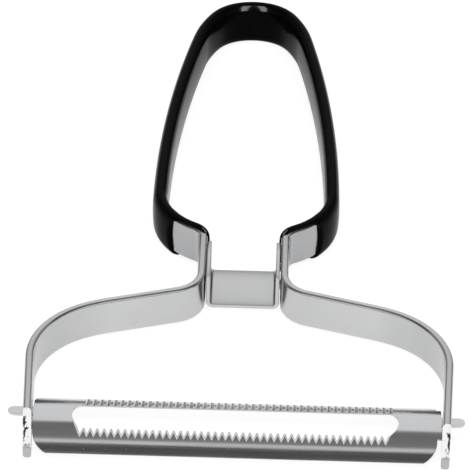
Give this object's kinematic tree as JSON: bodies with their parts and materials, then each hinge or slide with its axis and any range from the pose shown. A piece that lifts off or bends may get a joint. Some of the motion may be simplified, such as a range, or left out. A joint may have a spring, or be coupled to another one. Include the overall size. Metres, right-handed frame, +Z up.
{
  "type": "wide swivel vegetable peeler",
  "caption": "Wide Y-shaped peeler: bent steel strip with a dipped grip loop, a bridge bracket and a toothed blade that swivels between its arms.",
  "frame": {"origin": "centre of the bounding box's bottom, on the surface that the peeler lies on", "axes": "+X along the blade's pivot line, +Y from the blade towards the top of the handle loop, +Z up, across the strip's width"},
  "size_m": [0.1082, 0.1946, 0.012],
  "materials": {
    "frame_steel": "polished strip",
    "grip_pvc": "glossy dip coat",
    "bracket_steel": "rolled sheet",
    "blade_steel": "polished sheet"
  },
  "bodies": {
    "frame": {"frame_strip": "frame_steel", "grip_coat": "grip_pvc", "bridge_bracket": "bracket_steel"},
    "blade": {"swivel_blade": "blade_steel"}
  },
  "joints": [
    {"name": "blade_swivel", "type": "hinge", "parent": "frame", "child": "blade", "pos_m": [0, -0.08599, 0.006], "axis": [1, 0, 0], "continuous": true}
  ]
}
